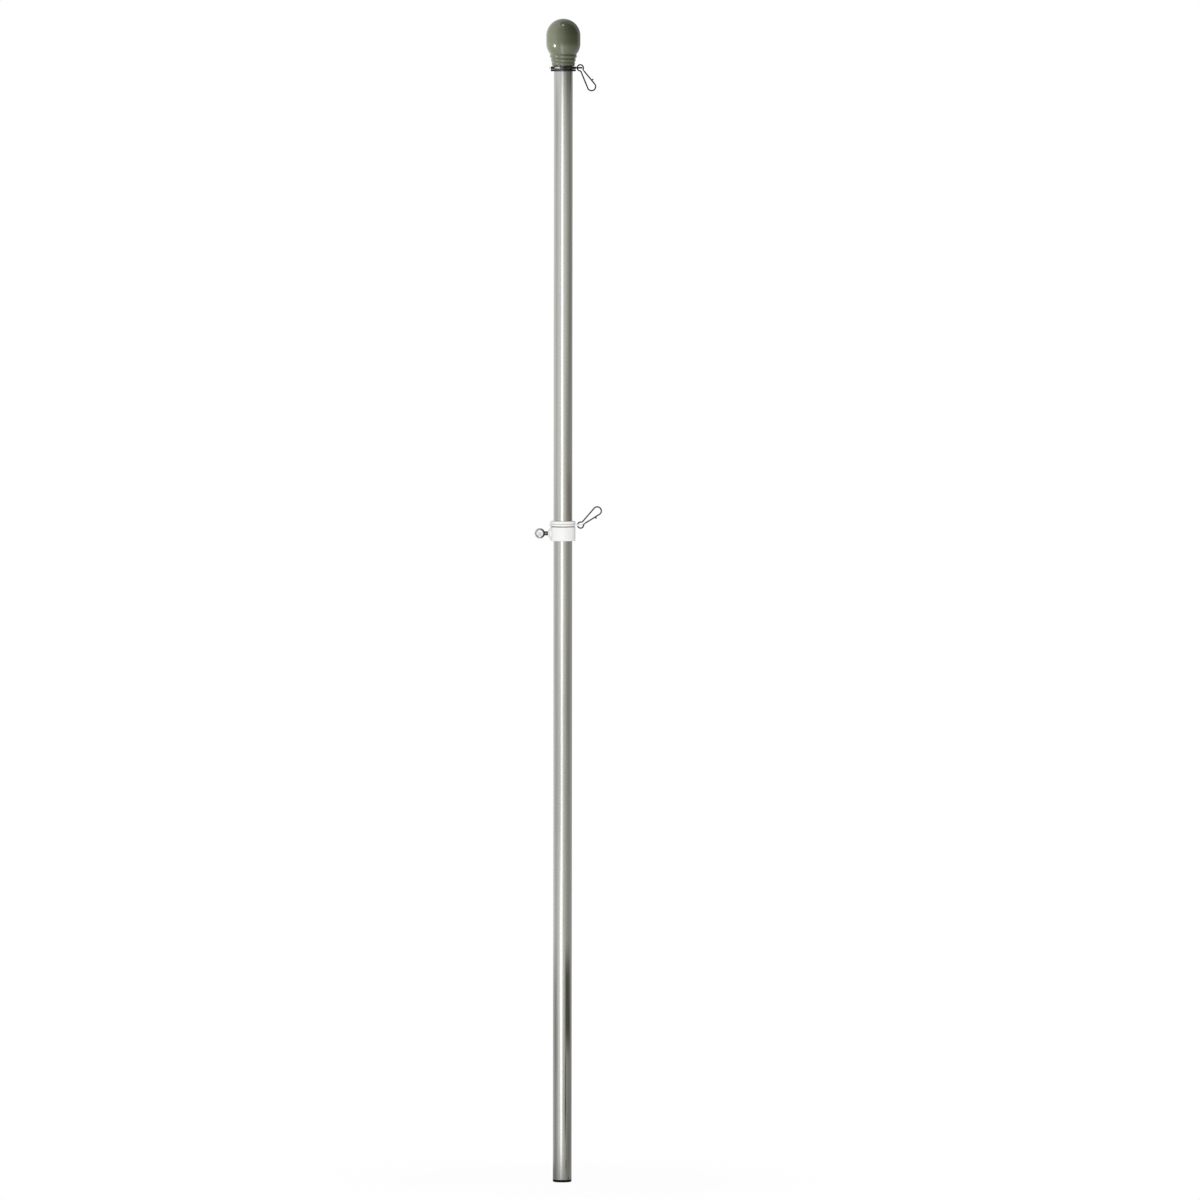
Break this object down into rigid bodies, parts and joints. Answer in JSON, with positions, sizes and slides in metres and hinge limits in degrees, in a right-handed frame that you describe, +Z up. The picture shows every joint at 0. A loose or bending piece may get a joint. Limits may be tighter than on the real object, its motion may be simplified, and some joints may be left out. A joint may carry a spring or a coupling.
{
  "type": "flagpole",
  "caption": "Upright one-inch aluminium flagpole with a ball top, a spinning clip ring below it and a sliding thumb-screw collar with a second spinning clip ring.",
  "frame": {"origin": "middle of the foot's flat face", "axes": "+Z up along the pole, +X towards the clips, -X towards the thumb screw"},
  "size_m": [0.0909, 0.046, 1.5726],
  "materials": {
    "brushed_aluminium": "satin, drawn along its length, a little stained",
    "black_plastic": "moulded, satin",
    "grey_green_gloss": "gloss",
    "dark_plated_metal": "dark gloss plating",
    "bronzed_wire": "blackened bronze",
    "white_plastic": "moulded, semi-gloss",
    "insert_metal": "turned",
    "bright_plated_steel": "bright zinc plating",
    "steel_wire": "drawn spring wire"
  },
  "bodies": {
    "pole": {"pole_tube": "brushed_aluminium", "foot_plug": "black_plastic", "ball": "grey_green_gloss", "stop_washer": "dark_plated_metal"},
    "upper_ring": {"upper_ring": "dark_plated_metal"},
    "upper_clip": {"upper_clip_wire": "bronzed_wire"},
    "upper_gate": {"upper_clip_gate": "bronzed_wire"},
    "collar": {"collar_body": "white_plastic", "cap_ring": "white_plastic", "thread_insert": "insert_metal"},
    "thumb_screw": {"thumb_screw": "bright_plated_steel"},
    "lower_ring": {"lower_ring": "white_plastic"},
    "lower_clip": {"lower_clip_wire": "steel_wire"},
    "lower_gate": {"lower_clip_gate": "steel_wire"}
  },
  "joints": [
    {"name": "upper_ring_spin", "type": "hinge", "parent": "pole", "child": "upper_ring", "pos_m": [0, 0, 1.5065], "axis": [0, 0, 1], "continuous": true},
    {"name": "upper_clip_swing", "type": "hinge", "parent": "upper_ring", "child": "upper_clip", "pos_m": [0.0229, 0, 1.5065], "axis": [0, -1, 0], "range_deg": [-23, 129]},
    {"name": "upper_gate_open", "type": "hinge", "parent": "upper_clip", "child": "upper_gate", "pos_m": [0.02794, 0, 1.50212], "axis": [0, 1, 0], "range_deg": [0, 14], "stiffness_Nm_per_rad": 0.01, "springref_deg": -11.46},
    {"name": "collar_slide", "type": "slide", "parent": "pole", "child": "collar", "axis": [0, 0, 1], "range_m": [-0.7, 0.5]},
    {"name": "thumb_screw_turn", "type": "hinge", "parent": "collar", "child": "thumb_screw", "pos_m": [-0.032, 0, 0.8785], "axis": [-1, 0, 0], "range_deg": [0, 450]},
    {"name": "lower_ring_spin", "type": "hinge", "parent": "collar", "child": "lower_ring", "pos_m": [0, 0, 0.88975], "axis": [0, 0, 1], "continuous": true},
    {"name": "lower_clip_swing", "type": "hinge", "parent": "lower_ring", "child": "lower_clip", "pos_m": [0.024, 0, 0.88975], "axis": [0, -1, 0], "range_deg": [-122.5, 39.5]},
    {"name": "lower_gate_open", "type": "hinge", "parent": "lower_clip", "child": "lower_gate", "pos_m": [0.03017, 0, 0.89231], "axis": [0, -1, 0], "range_deg": [0, 14], "stiffness_Nm_per_rad": 0.01, "springref_deg": -11.46}
  ]
}
